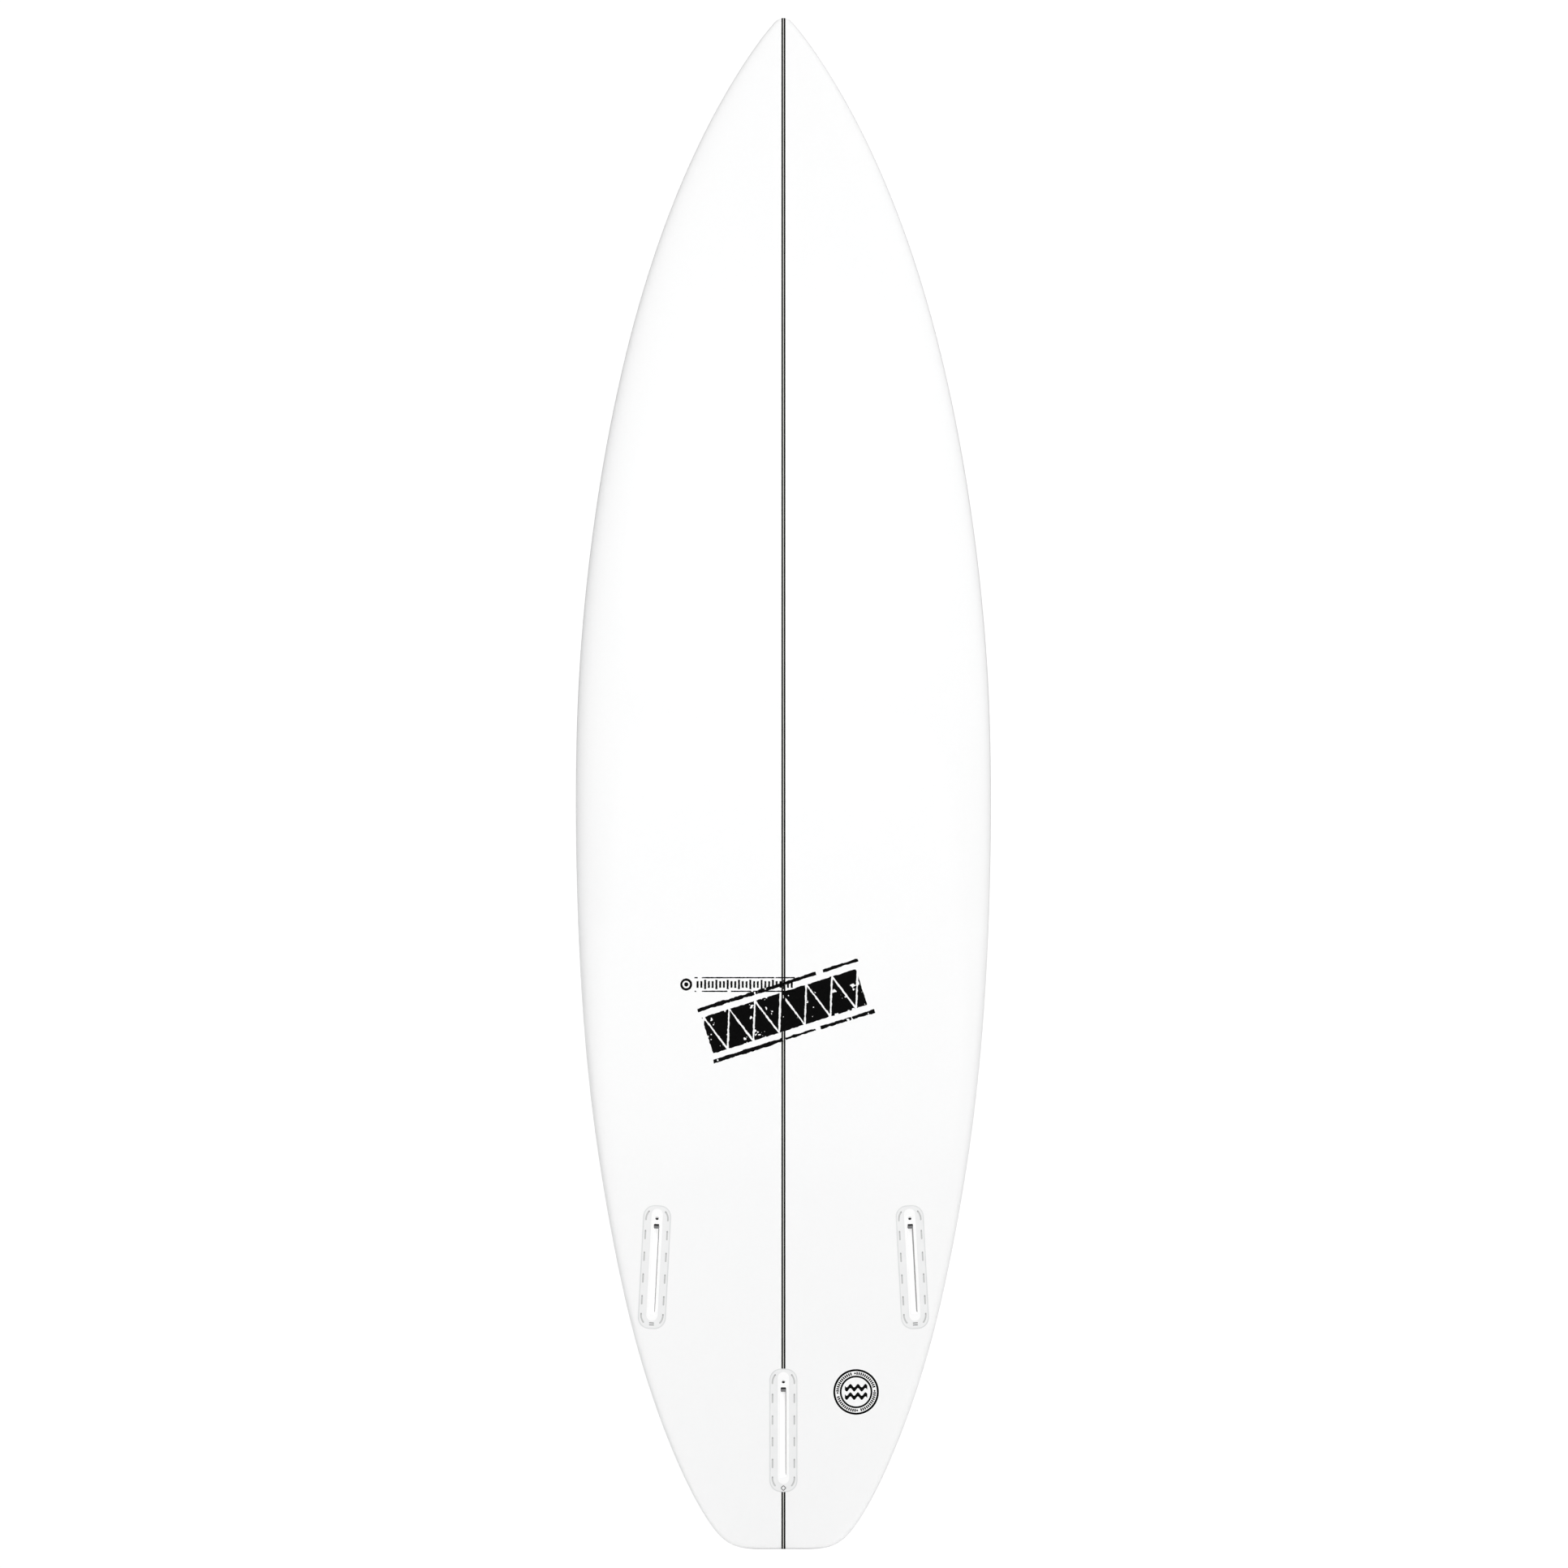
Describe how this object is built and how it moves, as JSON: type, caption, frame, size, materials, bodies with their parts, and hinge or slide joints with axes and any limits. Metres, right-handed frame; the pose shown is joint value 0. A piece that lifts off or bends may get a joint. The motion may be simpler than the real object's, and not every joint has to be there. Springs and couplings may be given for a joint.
{
  "type": "shortboard surfboard",
  "caption": "White shortboard with a pulled-in nose and squash tail, slotted fin boxes in the bottom, a leash plug in the deck and a wood stringer.",
  "frame": {"origin": "the rearmost point of the tail on the rail line, in the middle of the board", "axes": "+Z from tail to nose, -Y out of the bottom, +Y out of the deck, +X to the right as seen from the bottom with the nose up"},
  "size_m": [0.4956, 0.1332, 1.829],
  "materials": {
    "glass_skin": "white resin over glass cloth, sanded satin",
    "foam": "closed-cell foam blank",
    "wood": "light straight-grained strip",
    "dark_glue": "cured dark glue",
    "box_plastic": "white moulded, satin",
    "bar_metal": "drawn bar",
    "roller_plastic": "dark moulded",
    "cup_plastic": "white moulded, satin",
    "pin_metal": "stainless pin",
    "print_tissue": "printed rice paper under the glass"
  },
  "bodies": {
    "board": {"bottom_laminate": "glass_skin", "deck_laminate": "glass_skin", "foam_left": "foam", "foam_right": "foam", "stringer": "wood", "glue_line_left": "dark_glue", "glue_line_right": "dark_glue", "fin_box_left": "box_plastic", "fin_box_right": "box_plastic", "fin_box_centre": "box_plastic", "leash_cup": "cup_plastic", "leash_pin": "pin_metal", "stamp_tissue": "print_tissue", "badge_tissue": "print_tissue"},
    "bar_left": {"retainer_bar_left": "bar_metal"},
    "roller_left": {"retainer_roller_left": "roller_plastic"},
    "bar_right": {"retainer_bar_right": "bar_metal"},
    "roller_right": {"retainer_roller_right": "roller_plastic"},
    "bar_centre": {"retainer_bar_centre": "bar_metal"},
    "roller_centre": {"retainer_roller_centre": "roller_plastic"}
  },
  "joints": [
    {"name": "bar_left_spring", "type": "slide", "parent": "board", "child": "bar_left", "axis": [0.0523, -0.083, 0.9952], "range_m": [0, 0.0012], "stiffness_N_per_m": 4000},
    {"name": "roller_left_spin", "type": "hinge", "parent": "bar_left", "child": "roller_left", "pos_m": [-0.15154, -0.04288, 0.38479], "axis": [0.9985, 0.0172, -0.0511], "continuous": true},
    {"name": "bar_right_spring", "type": "slide", "parent": "board", "child": "bar_right", "axis": [-0.0523, -0.083, 0.9952], "range_m": [0, 0.0012], "stiffness_N_per_m": 4000},
    {"name": "roller_right_spin", "type": "hinge", "parent": "bar_right", "child": "roller_right", "pos_m": [0.15154, -0.04288, 0.38479], "axis": [0.9985, -0.0172, 0.0511], "continuous": true},
    {"name": "bar_centre_spring", "type": "slide", "parent": "board", "child": "bar_centre", "axis": [0, -0.1186, 0.9929], "range_m": [0, 0.0012], "stiffness_N_per_m": 4000},
    {"name": "roller_centre_spin", "type": "hinge", "parent": "bar_centre", "child": "roller_centre", "pos_m": [0, -0.02384, 0.18981], "axis": [1, 0, 0], "continuous": true}
  ]
}
